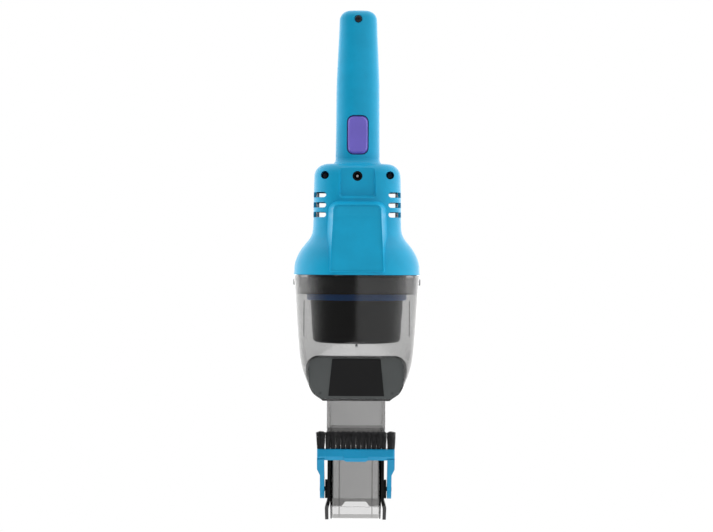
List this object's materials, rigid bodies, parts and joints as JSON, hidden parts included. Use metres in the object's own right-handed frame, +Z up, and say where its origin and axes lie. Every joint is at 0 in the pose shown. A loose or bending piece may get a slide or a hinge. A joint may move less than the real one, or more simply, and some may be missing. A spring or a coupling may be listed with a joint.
{
  "type": "handheld vacuum cleaner",
  "caption": "Cordless in-line handheld vacuum with a lift-off clear dust bowl, sliding nozzle and flip-up dusting brush.",
  "frame": {"origin": "mouth of the charging socket, in the flat recess floor on the underside of the motor housing, where a wall charging bracket holds the object", "axes": "+Z up along the handle, -Y out of the underside (towards the wall bracket), +X across to the right seen from the underside"},
  "size_m": [0.1114, 0.0994, 0.448],
  "materials": {
    "casing_blue": "satin ABS",
    "button_purple": "satin",
    "brush_blue": "satin",
    "ring_blue": "satin",
    "smoke_clear": "clear smoked polycarbonate",
    "smoke_tube": "clear smoked polycarbonate, deeper tint",
    "black_plastic": "satin",
    "dark_grey_plastic": "matte",
    "catch_grey": "satin",
    "black_rubber": "matte",
    "bristle_black": "fine bristles",
    "steel": "brushed",
    "black_screw": "black oxide",
    "cell_wrap": "shrink sleeve",
    "board_green": "solder mask",
    "white_plastic": "satin",
    "filter_cloth": "pleated cloth",
    "brass": "turned",
    "copper": "enamelled wire",
    "ferrite": "sintered",
    "carbon": "pressed",
    "wire_insulation": "insulated"
  },
  "bodies": {
    "housing": {"battery_cell_lower": "cell_wrap", "battery_cell_upper": "cell_wrap", "battery_cradle": "dark_grey_plastic", "battery_leads": "wire_insulation", "battery_tabs": "steel", "charging_socket": "black_plastic", "control_board": "board_green", "fan_cover": "dark_grey_plastic", "fan_cover_screws": "black_screw", "housing_screws": "black_screw", "housing_seal": "black_rubber", "motor_brushes": "carbon", "motor_bulkhead": "dark_grey_plastic", "motor_bushes": "brass", "motor_can": "steel", "motor_end_cap": "black_plastic", "motor_leads": "wire_insulation", "motor_magnets": "ferrite", "motor_screws": "black_screw", "power_switch": "black_plastic", "socket_pin": "steel", "top_shell": "casing_blue", "underside_shell": "casing_blue"},
    "rotor": {"motor_shaft": "steel", "armature_core": "steel", "armature_windings": "copper", "commutator": "copper", "impeller": "white_plastic", "impeller_insert": "brass"},
    "button": {"power_button": "button_purple", "switch_plunger": "white_plastic"},
    "bowl": {"dust_bowl": "smoke_clear", "nose_frame": "dark_grey_plastic", "nose_panel": "black_plastic", "inlet_duct": "black_plastic", "flap_pin": "steel", "filter_carrier": "smoke_clear", "filter_ring": "ring_blue"},
    "left_catch": {"left_catch": "catch_grey"},
    "right_catch": {"right_catch": "catch_grey"},
    "flap": {"inlet_flap": "black_rubber"},
    "filter": {"filter_cup": "black_plastic", "filter_frame": "black_plastic", "pleated_filter": "filter_cloth", "filter_base": "black_plastic"},
    "nozzle": {"nozzle_tube": "smoke_tube", "nozzle_rails": "black_plastic", "pivot_discs": "black_plastic"},
    "brush": {"brush_carrier": "brush_blue", "middle_bristles": "bristle_black", "end_bristles": "bristle_black"}
  },
  "joints": [
    {"name": "rotor_spin", "type": "hinge", "parent": "housing", "child": "rotor", "pos_m": [0, 0.0295, -0.07], "axis": [0, 0, 1], "continuous": true},
    {"name": "button_press", "type": "slide", "parent": "housing", "child": "button", "axis": [0, 1, 0], "range_m": [0, 0.002], "stiffness_N_per_m": 400, "springref_m": -0.001},
    {"name": "bowl_slide", "type": "slide", "parent": "housing", "child": "bowl", "axis": [0, 0, -1], "range_m": [0, 0.13]},
    {"name": "filter_slide", "type": "slide", "parent": "bowl", "child": "filter", "axis": [0, 0, 1], "range_m": [0, 0.065]},
    {"name": "left_catch_press", "type": "slide", "parent": "bowl", "child": "left_catch", "axis": [1, 0, 0], "range_m": [0, 0.0012], "stiffness_N_per_m": 500, "springref_m": -0.0008},
    {"name": "right_catch_press", "type": "slide", "parent": "bowl", "child": "right_catch", "axis": [-1, 0, 0], "range_m": [0, 0.0012], "stiffness_N_per_m": 500, "springref_m": -0.0008},
    {"name": "flap_swing", "type": "hinge", "parent": "bowl", "child": "flap", "pos_m": [0, 0.0435, -0.1606], "axis": [-1, 0, 0], "range_deg": [0, 30]},
    {"name": "nozzle_slide", "type": "slide", "parent": "bowl", "child": "nozzle", "axis": [0, 0, 1], "range_m": [0, 0.022]},
    {"name": "brush_flip", "type": "hinge", "parent": "nozzle", "child": "brush", "pos_m": [0, 0.0285, -0.2732], "axis": [1, 0, 0], "range_deg": [0, 155]}
  ],
  "couplings": [
    {"joint": "filter_slide", "follows": "bowl_slide", "ratio": 0.5}
  ]
}
